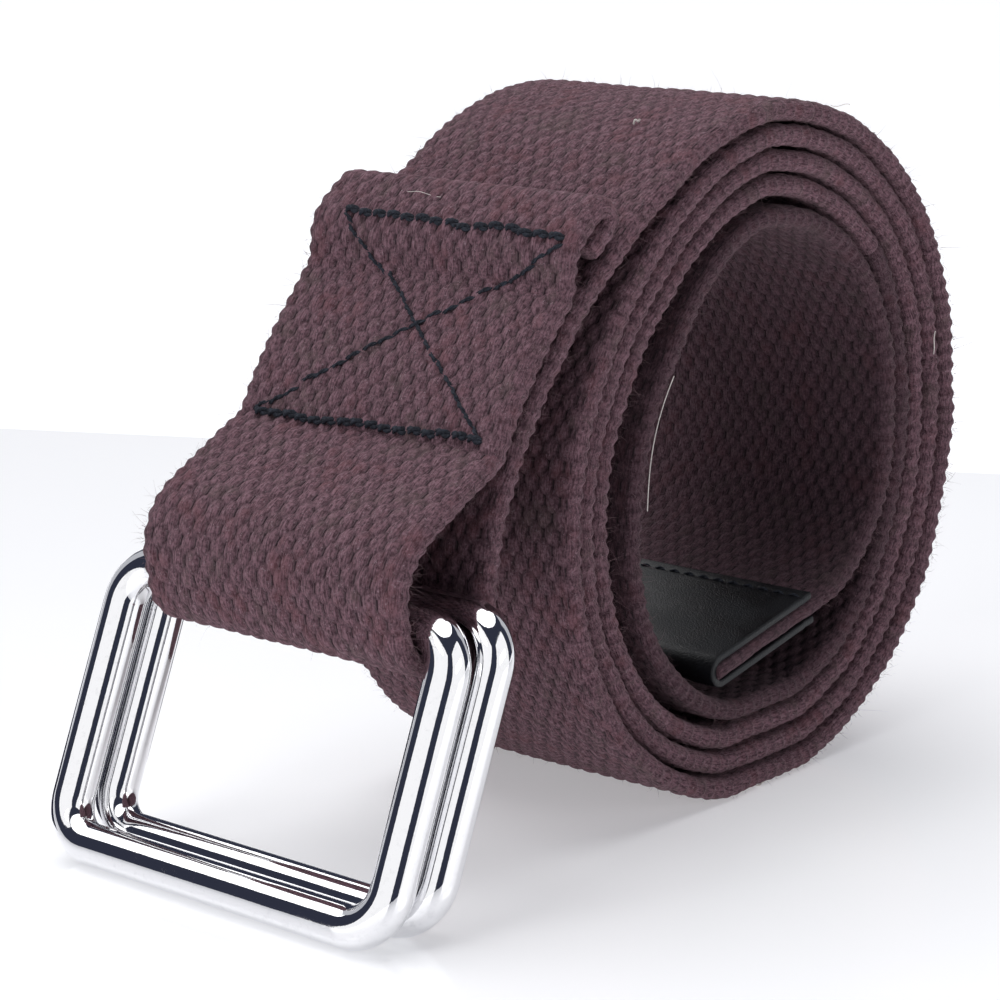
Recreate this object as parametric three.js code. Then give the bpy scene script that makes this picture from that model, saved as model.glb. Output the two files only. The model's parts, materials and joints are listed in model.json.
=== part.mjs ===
// Canvas belt, rolled up and standing on its rim, with a loop that holds two wire rings.
// Lengths are millimetres and angles are degrees. The roll's axis runs along X, the buckle end
// points to -Y and +Z is up.

import * as THREE from 'three';

// Webbing
const strapWidth = 38;
const strapThickness = 2.5;
const selvedgeRadius = 1.05;
const layerGap = 0.42;
const pathStep = 3;

// Roll
const coilRadius = 41.6;
const coilTurns = 4.285;
const stepsPerTurn = 48;
const restSink = 0.85;
const tailLeaves = -6;

// Rings of round wire
const wireDiameter = 4.8;
const ringHeight = 36.5;
const ringSideClearance = 2.4;
const ringCornerRadius = 4.8;
const ringGap = 0.32;
const frontRingShift = -1.7;
const rearRingShift = -0.48;
const wireSides = 12;
const wireSteps = 80;

// Sewn loop that holds the rings
const loopClearance = 0.32;
const barDrop = 17.3;
const barSetback = 9.2;
const descentReach = 6;
const sewnStart = -77;
const flapStart = -81;
const sewnEnd = -43.6;
const hemReturn = 3.2;
const hemMargin = 1.4;
const hemStep = 5;
const foldSteps = 6;
const closingSteps = 12;

// Leather tip on the inner end
const leatherThickness = 0.95;
const leatherLength = 20;
const leatherGap = 0.3;
const leatherEdge = 0.3;
const pocketCorner = 0.5;
const foldSides = 12;
const pressedThickness = 2;
const pressedBeyond = 1;
const pressedBlend = 5;
const tipTilt = 11.5;
const tipAngle = 199;
const tipRest = 0.4;
const tipRunOut = 2.5;
const tipBendReach = 0.36;
const tipSteps = 7;

const pitch = strapThickness + layerGap;
const foldRadius = pitch / 2;
const roundLength = 2 * Math.PI * coilRadius;

// Difference between the roll and a true spiral, as a share of the roll's radius, by angle from
// the top through the back
const ROLL_FORM = [
  { angle: 0, share: 0.024 },
  { angle: 45, share: 0.032 },
  { angle: 90, share: -0.002 },
  { angle: 135, share: 0.006 },
  { angle: 180, share: -0.006 },
  { angle: 225, share: -0.02 },
  { angle: 270, share: -0.052 },
  { angle: 300, share: -0.068 },
  { angle: 320, share: -0.062 },
  { angle: 340, share: -0.022 },
  { angle: 360, share: 0.024 },
];

// Slack of the innermost turn, as a share of the roll's radius, by turns wound
const INNER_SLACK = [
  { turns: 3.3, share: 0 },
  { turns: 3.5, share: -0.004 },
  { turns: 3.64, share: -0.05 },
  { turns: 3.75, share: -0.08 },
  { turns: 3.86, share: -0.072 },
  { turns: 4, share: -0.018 },
  { turns: 4.15, share: 0 },
];

// Course of the tail in front of the roll, as a share of the roll's radius, by angle
const TAIL_COURSE = [
  { angle: -88, share: 1.135 },
  { angle: -80, share: 1.081 },
  { angle: -70, share: 1.024 },
  { angle: -60, share: 0.983 },
  { angle: -50, share: 0.957 },
  { angle: -40, share: 0.944 },
  { angle: -30, share: 0.942 },
  { angle: -20, share: 0.962 },
  { angle: -10, share: 0.98 },
  { angle: 0, share: 0.994 },
];

// Upper front of the loop seen from the front bar, in radii of the loop's bend
const LOOP_SWELL = [
  { forward: 1.15, up: 0.95 },
  { forward: 0.85, up: 1.8 },
  { forward: 0.15, up: 2.5 },
  { forward: -0.9, up: 3.05 },
];

// Sideways drift of the webbing, as a share of its width, by turns wound from the roll's top.
// The tail counts backwards from there.
const SIDE_DRIFT = [
  { turns: -0.3, share: -0.03 },
  { turns: -0.18, share: -0.026 },
  { turns: 0, share: 0.012 },
  { turns: 1, share: 0.008 },
  { turns: 2, share: -0.004 },
  { turns: 3, share: -0.014 },
  { turns: 4.5, share: -0.016 },
];

// Smooth value of a table between its rows, level beyond its ends
function smoothTable(rows, keyName, valueName, key) {
  const last = rows.length - 1;
  if (key <= rows[0][keyName]) {
    return rows[0][valueName];
  }
  if (key >= rows[last][keyName]) {
    return rows[last][valueName];
  }
  let i = 0;
  while (key > rows[i + 1][keyName]) {
    i += 1;
  }
  const slope = (a, b) => {
    const change = rows[b][valueName] - rows[a][valueName];
    return change / (rows[b][keyName] - rows[a][keyName]);
  };
  const span = rows[i + 1][keyName] - rows[i][keyName];
  const t = (key - rows[i][keyName]) / span;
  const startSlope = slope(Math.max(i - 1, 0), i + 1) * span;
  const endSlope = slope(i, Math.min(i + 2, last)) * span;
  const t2 = t * t;
  const t3 = t2 * t;
  return (2 * t3 - 3 * t2 + 1) * rows[i][valueName] + (t3 - 2 * t2 + t) * startSlope
    + (3 * t2 - 2 * t3) * rows[i + 1][valueName] + (t3 - t2) * endSlope;
}

// The side view's points: x holds the model's Y and y holds its Z
function point(y, z) {
  return new THREE.Vector2(y, z);
}

// Centre of the roll, set so that the flattened bottom rests on the floor
const bottomShare = smoothTable(ROLL_FORM, 'angle', 'share', 180);
const coilCentreHeight = coilRadius * (1 + bottomShare) - pitch / 2 - restSink;

function polar(angle, radius) {
  const a = THREE.MathUtils.degToRad(angle);
  return point(radius * Math.sin(a), coilCentreHeight + radius * Math.cos(a));
}

function coilMiddleRadius(turns) {
  const angle = (turns - Math.floor(turns)) * 360;
  const form = coilRadius * smoothTable(ROLL_FORM, 'angle', 'share', angle);
  const slack = coilRadius * smoothTable(INNER_SLACK, 'turns', 'share', turns);
  return coilRadius - pitch * turns + form + slack - strapThickness / 2;
}

function coilPoint(turns) {
  const p = polar(turns * 360, coilMiddleRadius(turns));
  // Each turn lies flat where the roll's weight rests on the floor
  const lowest = strapThickness / 2 + Math.floor(turns) * pitch;
  p.y = Math.max(p.y, lowest);
  return p;
}

function tailPoint(angle) {
  return polar(angle, coilRadius * smoothTable(TAIL_COURSE, 'angle', 'share', angle));
}

// Direction along the tail, away from the roll's top
function tailDirection(angle) {
  return tailPoint(angle - 0.5).sub(tailPoint(angle + 0.5)).normalize();
}

function tailNormal(angle) {
  const along = tailDirection(angle);
  return point(along.y, -along.x);
}

// Angle reached from a start after going some way up the tail
function angleUpTail(start, way) {
  const radius = tailPoint(start).distanceTo(point(0, coilCentreHeight));
  return start + THREE.MathUtils.radToDeg(way / radius);
}

// Straight end of the webbing that carries the leather, and its way into the innermost turn
const tipDirection = point(
  -Math.cos(THREE.MathUtils.degToRad(tipTilt)),
  -Math.sin(THREE.MathUtils.degToRad(tipTilt)),
);
const tipStack = pressedThickness + 2 * leatherGap + 2 * leatherThickness;
const tipTurns = Math.floor(coilTurns) - 1 + tipAngle / 360;
const tipRadius = coilMiddleRadius(tipTurns) - strapThickness / 2 - tipRest - tipStack / 2;
const webbingEnd = polar(tipAngle, tipRadius);
const tipStart = webbingEnd.clone().addScaledVector(tipDirection, -(leatherLength + tipRunOut));

function innerEndPath() {
  const path = [];
  for (let i = 0; i <= tipSteps; i += 1) {
    path.push(webbingEnd.clone().lerp(tipStart, i / tipSteps));
  }
  const join = coilPoint(coilTurns);
  const inward = join.clone().sub(coilPoint(coilTurns - 0.01)).normalize();
  const reach = join.distanceTo(tipStart) * tipBendReach;
  const bend = new THREE.CubicBezierCurve(
    tipStart,
    tipStart.clone().addScaledVector(tipDirection, -reach),
    join.clone().addScaledVector(inward, reach),
    join,
  );
  return path.concat(bend.getSpacedPoints(tipSteps).slice(1));
}

// Bars of the two rings inside the loop
const bendRadius = wireDiameter / 2 + loopClearance + strapThickness / 2;
const sewnFoot = tailPoint(sewnStart);
const ringAxisHeight = ringHeight - wireDiameter;
const barHeight = sewnFoot.y - barDrop;
const ringLean = Math.acos(Math.min(1, (barHeight - wireDiameter / 2) / ringAxisHeight));
const barSpacing = (wireDiameter + ringGap) / Math.cos(ringLean);
const rearBar = point(sewnFoot.x - barSetback, barHeight);
const frontBar = point(rearBar.x - barSpacing, barHeight);

function arc(centre, radius, from, to) {
  const points = [];
  for (let i = 0; i <= foldSteps; i += 1) {
    const a = THREE.MathUtils.degToRad(from + (to - from) * (i / foldSteps));
    points.push(point(centre.x + radius * Math.cos(a), centre.y + radius * Math.sin(a)));
  }
  return points;
}

// Flap over the tail. Near the hem it rides over its own turned-in end.
function flapPoint(angle) {
  const radius = tailPoint(angle).distanceTo(point(0, coilCentreHeight));
  const toHem = THREE.MathUtils.degToRad(sewnEnd - angle) * radius;
  const level = hemReturn + hemMargin;
  const rise = 1 - THREE.MathUtils.smoothstep(toHem, level, level + hemStep);
  const lift = pitch + rise * (pitch + layerGap / 2);
  return tailPoint(angle).addScaledVector(tailNormal(angle), lift);
}

// Turned-in end between the flap and the tail
function hemPoint(way) {
  const angle = angleUpTail(sewnEnd, -way);
  return tailPoint(angle).addScaledVector(tailNormal(angle), pitch + layerGap / 2);
}

function tailAndLoopPath() {
  const path = [];
  for (let angle = tailLeaves; angle > sewnStart + 1; angle -= pathStep) {
    path.push(tailPoint(angle));
  }
  const descent = new THREE.CubicBezierCurve(
    sewnFoot,
    sewnFoot.clone().addScaledVector(tailDirection(sewnStart), descentReach),
    point(rearBar.x + bendRadius, rearBar.y + descentReach),
    point(rearBar.x + bendRadius, rearBar.y),
  );
  path.push(...descent.getSpacedPoints(foldSteps));
  path.push(...arc(rearBar, bendRadius, -15, -90));
  path.push(...arc(frontBar, bendRadius, -90, -180));
  const swell = LOOP_SWELL.map((row) => point(
    frontBar.x - row.forward * bendRadius,
    frontBar.y + row.up * bendRadius,
  ));
  const front = point(frontBar.x - bendRadius, frontBar.y);
  const closing = new THREE.SplineCurve([front, ...swell, flapPoint(flapStart)]);
  path.push(...closing.getSpacedPoints(closingSteps).slice(1));
  for (let angle = flapStart + pathStep; angle < sewnEnd - 1; angle += pathStep) {
    path.push(flapPoint(angle));
  }
  const out = tailNormal(sewnEnd);
  const fold = flapPoint(sewnEnd).addScaledVector(out, -foldRadius);
  const outAngle = THREE.MathUtils.radToDeg(out.angle());
  path.push(...arc(fold, foldRadius, outAngle, outAngle - 180));
  path.push(hemPoint(hemReturn / 2));
  path.push(hemPoint(hemReturn));
  return path;
}

// Section of the webbing: flat faces with rounded edges, as across and thickness
function webbingSection(thickness) {
  const radius = Math.min(selvedgeRadius, thickness * 0.45);
  const x = strapWidth / 2 - radius;
  const n = thickness / 2 - radius;
  const corners = [[1, 1, 0], [-1, 1, 90], [-1, -1, 180], [1, -1, 270]];
  const section = [];
  for (const [sideX, sideN, start] of corners) {
    for (const turn of [0, 45, 90]) {
      const a = THREE.MathUtils.degToRad(start + turn);
      section.push([sideX * x + radius * Math.cos(a), sideN * n + radius * Math.sin(a)]);
    }
  }
  return section;
}

// Stations along the middle of the webbing, from the inner end to the turned-in hem
function strapStations() {
  const stations = [];
  const add = (p, turns, apart) => {
    const previous = stations[stations.length - 1];
    if (!previous || previous.p.distanceTo(p) > apart) {
      stations.push({ p, turns });
    }
  };
  for (const p of innerEndPath()) {
    add(p, coilTurns, 0.05);
  }
  for (let i = Math.floor(coilTurns * stepsPerTurn); i >= 0; i -= 1) {
    add(coilPoint(i / stepsPerTurn), i / stepsPerTurn, 0.8);
  }
  for (const p of tailAndLoopPath()) {
    add(p, -p.distanceTo(coilPoint(0)) / roundLength, 0.05);
  }
  return stations;
}

function buildStrap() {
  const stations = strapStations();
  const positions = [];
  const indices = [];
  const count = webbingSection(strapThickness).length;
  const pressedLength = leatherLength + pressedBeyond;
  let run = 0;
  stations.forEach((station, i) => {
    const previous = stations[Math.max(i - 1, 0)].p;
    const next = stations[Math.min(i + 1, stations.length - 1)].p;
    run += station.p.distanceTo(previous);
    const along = next.clone().sub(previous).normalize();
    const normal = point(-along.y, along.x);
    const full = THREE.MathUtils.smoothstep(run, pressedLength, pressedLength + pressedBlend);
    const thickness = THREE.MathUtils.lerp(pressedThickness, strapThickness, full);
    const drift = strapWidth * smoothTable(SIDE_DRIFT, 'turns', 'share', station.turns);
    for (const [across, up] of webbingSection(thickness)) {
      const p = station.p.clone().addScaledVector(normal, up);
      positions.push(drift + across, p.x, p.y);
    }
  });
  for (let s = 0; s < stations.length - 1; s += 1) {
    for (let k = 0; k < count; k += 1) {
      const a = s * count + k;
      const b = s * count + ((k + 1) % count);
      indices.push(a, b + count, b, a, a + count, b + count);
    }
  }
  const lastRow = (stations.length - 1) * count;
  for (let k = 1; k < count - 1; k += 1) {
    indices.push(0, k, k + 1);
    indices.push(lastRow, lastRow + k + 1, lastRow + k);
  }
  const geometry = new THREE.BufferGeometry();
  geometry.setAttribute('position', new THREE.Float32BufferAttribute(positions, 3));
  geometry.setIndex(indices);
  geometry.computeVertexNormals();
  return geometry;
}

// Middle line of a ring: a rectangle with rounded corners that hangs from its top bar
class RingLine extends THREE.Curve {
  constructor(width, height, radius) {
    super();
    const right = width / 2 - radius;
    const bottom = radius - height;
    const quarter = Math.PI / 2;
    this.outline = new THREE.Path();
    this.outline.moveTo(0, 0);
    this.outline.absarc(right, -radius, radius, quarter, 0, true);
    this.outline.absarc(right, bottom, radius, 0, -quarter, true);
    this.outline.absarc(-right, bottom, radius, -quarter, -2 * quarter, true);
    this.outline.absarc(-right, -radius, radius, 2 * quarter, quarter, true);
    this.outline.lineTo(0, 0);
  }

  getPoint(t, target = new THREE.Vector3()) {
    const p = this.outline.getPoint(t);
    return target.set(p.x, 0, p.y);
  }
}

function buildRing() {
  const width = strapWidth + 2 * ringSideClearance + wireDiameter;
  const line = new RingLine(width, ringAxisHeight, ringCornerRadius);
  return new THREE.TubeGeometry(line, wireSteps, wireDiameter / 2, wireSides, true);
}

// Leather folded round the end of the webbing, drawn from the side: x runs back along the webbing
function buildLeather() {
  const inner = pressedThickness / 2 + leatherGap;
  const outer = inner + leatherThickness;
  const foldCentre = inner - leatherGap;
  const shape = new THREE.Shape();
  shape.moveTo(leatherLength, inner);
  shape.lineTo(leatherLength, outer - leatherEdge);
  shape.lineTo(leatherLength - leatherEdge, outer);
  for (let i = 0; i <= foldSides; i += 1) {
    const a = Math.PI / 2 + (Math.PI * i) / foldSides;
    shape.lineTo(foldCentre + outer * Math.cos(a), outer * Math.sin(a));
  }
  shape.lineTo(leatherLength - leatherEdge, -outer);
  shape.lineTo(leatherLength, -outer + leatherEdge);
  shape.lineTo(leatherLength, -inner);
  shape.lineTo(pocketCorner - leatherGap, -inner);
  shape.lineTo(-leatherGap, -inner + pocketCorner);
  shape.lineTo(-leatherGap, inner - pocketCorner);
  shape.lineTo(pocketCorner - leatherGap, inner);
  shape.closePath();
  return new THREE.ExtrudeGeometry(shape, { depth: strapWidth, bevelEnabled: false });
}

const canvas = new THREE.MeshStandardMaterial({ color: 0x5b4549, roughness: 0.95, metalness: 0 });
const frontMetal = new THREE.MeshStandardMaterial({ color: 0xd3d5d8, roughness: 0.12, metalness: 1 });
const rearMetal = new THREE.MeshStandardMaterial({ color: 0xcfd1d4, roughness: 0.12, metalness: 1 });
const leather = new THREE.MeshStandardMaterial({ color: 0x1d2124, roughness: 0.5, metalness: 0 });

const belt = new THREE.Group();
belt.name = 'canvas_belt';

const strap = new THREE.Mesh(buildStrap(), canvas);
strap.name = 'strap';
belt.add(strap);

function placeRing(name, material, bar, sideways) {
  const ring = new THREE.Mesh(buildRing(), material);
  ring.name = name;
  ring.position.set(strapWidth * SIDE_DRIFT[0].share + sideways, bar.x, bar.y);
  ring.rotation.x = -ringLean;
  belt.add(ring);
}

placeRing('front_ring', frontMetal, frontBar, frontRingShift);
placeRing('rear_ring', rearMetal, rearBar, rearRingShift);

const leatherTip = new THREE.Mesh(buildLeather(), leather);
leatherTip.name = 'leather_tip';
// The drawing's x runs back along the webbing and its thickness lies across it
const back = new THREE.Vector3(0, -tipDirection.x, -tipDirection.y);
const across = new THREE.Vector3(1, 0, 0);
const rise = new THREE.Vector3().crossVectors(across, back);
leatherTip.quaternion.setFromRotationMatrix(new THREE.Matrix4().makeBasis(back, rise, across));
const tipDrift = strapWidth * smoothTable(SIDE_DRIFT, 'turns', 'share', coilTurns);
leatherTip.position.set(tipDrift - strapWidth / 2, webbingEnd.x, webbingEnd.y);
belt.add(leatherTip);

// The origin is the middle of the bottom
belt.updateMatrixWorld(true);
const box = new THREE.Box3().setFromObject(belt, true);
const middle = box.getCenter(new THREE.Vector3());
for (const piece of belt.children) {
  piece.position.x -= middle.x;
  piece.position.y -= middle.y;
  piece.position.z -= box.min.z;
}

export default belt;
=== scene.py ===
"""Rolled canvas belt with two wire rings: webbing, stitching, rings, leather tip, fuzz and stage.

Sizes are in metres. The webbing is woven flat, as X along it, Y across it and Z through it,
and is then laid along the belt's line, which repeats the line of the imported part.
"""

import json
import math

import bmesh
import bpy
import numpy as np
from mathutils import Matrix, Vector, noise


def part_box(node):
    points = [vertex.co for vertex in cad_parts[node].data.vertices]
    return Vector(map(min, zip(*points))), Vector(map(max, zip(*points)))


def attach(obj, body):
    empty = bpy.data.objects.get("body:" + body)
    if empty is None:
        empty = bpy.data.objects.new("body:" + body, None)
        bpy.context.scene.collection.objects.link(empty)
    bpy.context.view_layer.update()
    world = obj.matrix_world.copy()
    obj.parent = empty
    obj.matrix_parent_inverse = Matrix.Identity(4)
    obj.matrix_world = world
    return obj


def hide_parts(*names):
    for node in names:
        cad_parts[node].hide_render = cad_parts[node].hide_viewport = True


bl_info = {
    "name": "Canvas belt",
    "version": (1, 0, 0),
    "blender": (4, 5, 0),
    "location": "3D View > Sidebar > Belt",
    "description": "Models a rolled canvas belt with two wire rings round its packed frame",
    "category": "Object",
}

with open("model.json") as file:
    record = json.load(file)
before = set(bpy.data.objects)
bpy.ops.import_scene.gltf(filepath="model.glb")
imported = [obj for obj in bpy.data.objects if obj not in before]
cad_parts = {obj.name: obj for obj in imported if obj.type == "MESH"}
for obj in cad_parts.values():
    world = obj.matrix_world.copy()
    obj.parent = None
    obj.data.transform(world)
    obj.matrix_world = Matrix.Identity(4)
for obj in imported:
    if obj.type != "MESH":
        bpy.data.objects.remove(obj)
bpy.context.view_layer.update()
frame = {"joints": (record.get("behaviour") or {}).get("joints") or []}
JOINTS = {joint["name"]: joint for joint in frame["joints"]}
FRONT_BAR = Vector(JOINTS["front_ring_swing"]["pos_m"])
REAR_BAR = Vector(JOINTS["rear_ring_swing"]["pos_m"])
STRAP_LOW, STRAP_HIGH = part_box("strap")
RING_LOW, RING_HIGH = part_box("front_ring")

# Webbing
STRAP_WIDTH = 0.038
STRAP_THICKNESS = 0.0025
LAYER_GAP = 0.00042
PITCH = STRAP_THICKNESS + LAYER_GAP
WEAVE_REPEATS = 300
ROWS_PER_REPEAT = 10

# Reach of a crown of the weave along the belt in repeats, and across it in columns
CROWN_REACH = 0.42
CROWN_SPREAD = 1.06
CREASE_FLOOR = 0.2

# Roll
COIL_RADIUS = 0.0416
COIL_TURNS = 4.285
REST_SINK = 0.00085
TAIL_LEAVES = -6

# Rings
WIRE = 0.0048
RING_HEIGHT = 0.0365
CORNER_RADIUS = 0.0048

# Sewn loop
BEND_RADIUS = WIRE / 2 + 0.00032 + STRAP_THICKNESS / 2
BAR_DROP = 0.0173
BAR_SETBACK = 0.0092
DESCENT_REACH = 0.006
SEWN_START = -77
FLAP_START = -81
SEWN_END = -43.6
HEM_RETURN = 0.0032
HEM_MARGIN = 0.0014
HEM_STEP = 0.005

# Leather tip
LEATHER = 0.00095
LEATHER_LENGTH = 0.02
LEATHER_GAP = 0.0003
LEATHER_SEAT = 0.0001
PRESSED = 0.002
TIP_TILT = 11.5
TIP_ANGLE = 199
TIP_REST = 0.0004

# Difference between the roll and a true spiral: angle from the top, share of the radius
ROLL_FORM = [
    (0, 0.024), (45, 0.032), (90, -0.002), (135, 0.006), (180, -0.006), (225, -0.02),
    (270, -0.052), (300, -0.068), (320, -0.062), (340, -0.022), (360, 0.024),
]
# Slack of the innermost turn: turns wound, share of the radius
INNER_SLACK = [
    (3.3, 0), (3.5, -0.004), (3.64, -0.05), (3.75, -0.08), (3.86, -0.072), (4, -0.018), (4.15, 0),
]
# Course of the tail in front of the roll: angle, share of the radius
TAIL_COURSE = [
    (-88, 1.135), (-80, 1.081), (-70, 1.024), (-60, 0.983), (-50, 0.957), (-40, 0.944),
    (-30, 0.942), (-20, 0.962), (-10, 0.98), (0, 0.994),
]
# Upper front of the loop from the front bar: forward and up, in radii of the loop's bend
LOOP_SWELL = [(1.15, 0.95), (0.85, 1.8), (0.15, 2.5), (-0.9, 3.05)]
# Sideways drift: turns wound, share of the width
SIDE_DRIFT = [
    (-0.3, -0.03), (-0.18, -0.026), (0, 0.012), (1, 0.008), (2, -0.004), (3, -0.014), (4.5, -0.016),
]


# The belt's line

def smooth_table(rows, key):
    """Smooth value of a table between its rows, level beyond its ends."""
    if key <= rows[0][0]:
        return rows[0][1]
    if key >= rows[-1][0]:
        return rows[-1][1]
    last = len(rows) - 1
    i = max(k for k in range(last) if rows[k][0] < key)

    def slope(a, b):
        return (rows[b][1] - rows[a][1]) / (rows[b][0] - rows[a][0])

    span = rows[i + 1][0] - rows[i][0]
    t = (key - rows[i][0]) / span
    start = slope(max(i - 1, 0), i + 1) * span
    end = slope(i, min(i + 2, last)) * span
    t2, t3 = t * t, t * t * t
    return ((2 * t3 - 3 * t2 + 1) * rows[i][1] + (t3 - 2 * t2 + t) * start
            + (3 * t2 - 2 * t3) * rows[i + 1][1] + (t3 - t2) * end)


def smooth_step(value, low, high):
    t = np.clip((value - low) / (high - low), 0, 1)
    return t * t * (3 - 2 * t)


CENTRE_HEIGHT = COIL_RADIUS * (1 + smooth_table(ROLL_FORM, 180)) - PITCH / 2 - REST_SINK


def polar(angle, radius):
    a = math.radians(angle)
    return np.array([radius * math.sin(a), CENTRE_HEIGHT + radius * math.cos(a)])


def unit(vector):
    return vector / np.linalg.norm(vector)


def coil_radius(turns):
    form = smooth_table(ROLL_FORM, turns % 1 * 360) + smooth_table(INNER_SLACK, turns)
    return COIL_RADIUS * (1 + form) - PITCH * turns - STRAP_THICKNESS / 2


def coil_point(turns):
    p = polar(turns * 360, coil_radius(turns))
    p[1] = max(p[1], STRAP_THICKNESS / 2 + math.floor(turns) * PITCH)
    return p


def tail_point(angle):
    return polar(angle, COIL_RADIUS * smooth_table(TAIL_COURSE, angle))


def tail_direction(angle):
    return unit(tail_point(angle - 0.5) - tail_point(angle + 0.5))


def tail_normal(angle):
    along = tail_direction(angle)
    return np.array([along[1], -along[0]])


def tail_radius(angle):
    return np.linalg.norm(tail_point(angle) - polar(0, 0))


def flap_point(angle):
    """The flap over the tail, which rides over its own turned-in end near the hem."""
    to_hem = math.radians(SEWN_END - angle) * tail_radius(angle)
    level = HEM_RETURN + HEM_MARGIN
    rise = 1 - smooth_step(to_hem, level, level + HEM_STEP)
    return tail_point(angle) + tail_normal(angle) * (PITCH + rise * (PITCH + LAYER_GAP / 2))


def hem_point(way):
    angle = SEWN_END - math.degrees(way / tail_radius(SEWN_END))
    return tail_point(angle) + tail_normal(angle) * (PITCH + LAYER_GAP / 2)


def bezier(a, b, c, d, steps=24):
    t = np.linspace(0, 1, steps + 1)[:, None]
    return a * (1 - t) ** 3 + 3 * b * t * (1 - t) ** 2 + 3 * c * t * t * (1 - t) + d * t ** 3


def through(points, steps=10):
    """Points of a smooth curve through the given ones."""
    ends = [2 * points[0] - points[1], *points, 2 * points[-1] - points[-2]]
    curve = []
    for a, b, c, d in zip(ends, ends[1:], ends[2:], ends[3:]):
        for t in np.linspace(0, 1, steps, endpoint=False):
            curve.append(0.5 * (2 * b + (c - a) * t + (2 * a - 5 * b + 4 * c - d) * t * t
                                + (3 * b - a - 3 * c + d) * t ** 3))
    return [*curve, points[-1]]


def arc(centre, radius, start, end, steps=20):
    angles = np.radians(np.linspace(start, end, steps + 1))
    return [centre + radius * np.array([math.cos(a), math.sin(a)]) for a in angles]


TIP_DIRECTION = -np.array([math.cos(math.radians(TIP_TILT)), math.sin(math.radians(TIP_TILT))])
TIP_STACK = PRESSED + 2 * LEATHER_GAP + 2 * LEATHER
TIP_TURNS = math.floor(COIL_TURNS) - 1 + TIP_ANGLE / 360
WEBBING_END = polar(TIP_ANGLE, coil_radius(TIP_TURNS) - STRAP_THICKNESS / 2 - TIP_REST - TIP_STACK / 2)
SEWN_FOOT = tail_point(SEWN_START)
REAR = SEWN_FOOT - np.array([BAR_SETBACK, BAR_DROP])
FRONT = REAR - np.array([REAR_BAR.y - FRONT_BAR.y, 0])


def inner_end():
    start = WEBBING_END - TIP_DIRECTION * (LEATHER_LENGTH + 0.0025)
    join = coil_point(COIL_TURNS)
    inward = unit(join - coil_point(COIL_TURNS - 0.01))
    reach = np.linalg.norm(join - start) * 0.36
    bend = bezier(start, start - TIP_DIRECTION * reach, join + inward * reach, join)
    return [*np.linspace(WEBBING_END, start, 20), *bend[1:]]


def tail_and_loop():
    path = [tail_point(angle) for angle in np.arange(TAIL_LEAVES, SEWN_START, -1.5)]
    back = REAR + np.array([BEND_RADIUS, 0])
    reach = np.array([0, DESCENT_REACH])
    path += list(bezier(SEWN_FOOT, SEWN_FOOT + tail_direction(SEWN_START) * DESCENT_REACH,
                        back + reach, back))
    path += arc(REAR, BEND_RADIUS, -4, -90)
    path += arc(FRONT, BEND_RADIUS, -90, -180)
    swell = [FRONT + BEND_RADIUS * np.array([-forward, up]) for forward, up in LOOP_SWELL]
    path += through([FRONT - np.array([BEND_RADIUS, 0]), *swell, flap_point(FLAP_START)])[1:]
    path += [flap_point(angle) for angle in np.arange(FLAP_START + 1.5, SEWN_END - 0.5, 1.5)]
    out = tail_normal(SEWN_END)
    turned = math.degrees(math.atan2(out[1], out[0]))
    path += arc(flap_point(SEWN_END) - out * PITCH / 2, PITCH / 2, turned, turned - 180)
    return [*path, hem_point(HEM_RETURN / 2), hem_point(HEM_RETURN)]


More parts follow.
